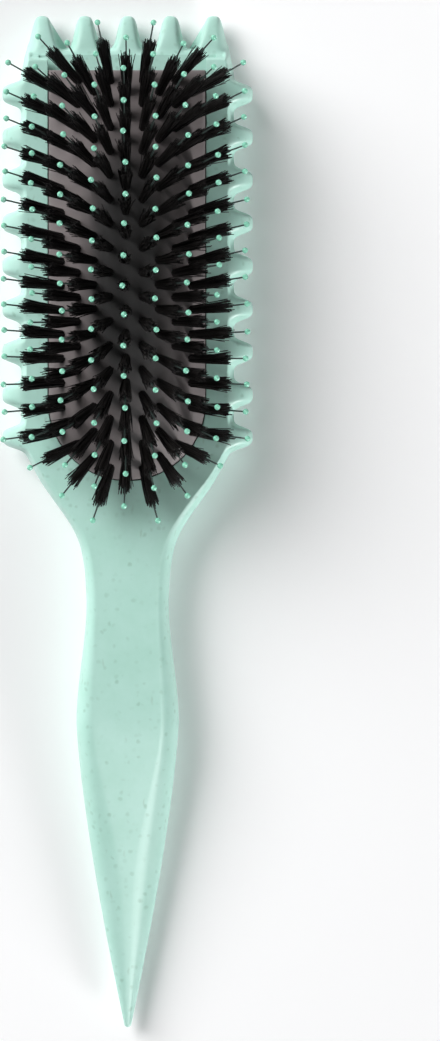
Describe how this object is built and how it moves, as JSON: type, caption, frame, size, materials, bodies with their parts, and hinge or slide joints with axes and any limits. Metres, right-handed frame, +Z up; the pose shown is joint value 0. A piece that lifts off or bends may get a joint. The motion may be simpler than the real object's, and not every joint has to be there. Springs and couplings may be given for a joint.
{
  "type": "styling brush",
  "caption": "Cushion styling brush with a toothed rim, end fingers, a tapered parting tail and a slide-out cartridge of bristle tufts with ball-tipped pins.",
  "frame": {"origin": "on the flat back, straight under the middle of the cushion", "axes": "+Y runs from the tail to the end fingers, +Z is up from the flat back, the way the bristles point, and +X is to the right seen from the bristle side with the fingers up"},
  "size_m": [0.0618, 0.2501, 0.0404],
  "materials": {
    "frame_plastic": "satin, with fine plant-fibre specks",
    "tray_plastic": "matt",
    "cushion_rubber": "matt"
  },
  "bodies": {
    "frame": {"frame_handle": "frame_plastic"},
    "cartridge": {"cartridge_tray": "tray_plastic", "bristle_row_01": "cushion_rubber", "bristle_row_02": "cushion_rubber", "bristle_row_03": "cushion_rubber", "bristle_row_04": "cushion_rubber", "bristle_row_05": "cushion_rubber", "bristle_row_06": "cushion_rubber", "bristle_row_07": "cushion_rubber", "bristle_row_08": "cushion_rubber", "bristle_row_09": "cushion_rubber", "bristle_row_10": "cushion_rubber", "bristle_row_11": "cushion_rubber", "bristle_row_12": "cushion_rubber", "bristle_row_13": "cushion_rubber", "bristle_row_14": "cushion_rubber", "bristle_row_15": "cushion_rubber", "bristle_row_16": "cushion_rubber", "bristle_row_17": "cushion_rubber", "bristle_row_18": "cushion_rubber", "bristle_row_19": "cushion_rubber", "bristle_row_20": "cushion_rubber", "bristle_row_21": "cushion_rubber", "bristle_row_22": "cushion_rubber", "bristle_row_23": "cushion_rubber", "bristle_row_24": "cushion_rubber", "bristle_row_25": "cushion_rubber", "bristle_row_26": "cushion_rubber", "bristle_row_27": "cushion_rubber", "bristle_row_28": "cushion_rubber", "bristle_row_29": "cushion_rubber", "bristle_row_30": "cushion_rubber", "bristle_row_31": "cushion_rubber", "bristle_row_32": "cushion_rubber", "bristle_row_33": "cushion_rubber"}
  },
  "joints": [
    {"name": "cartridge_slide", "type": "slide", "parent": "frame", "child": "cartridge", "axis": [0, 1, 0], "range_m": [0, 0.12]}
  ]
}
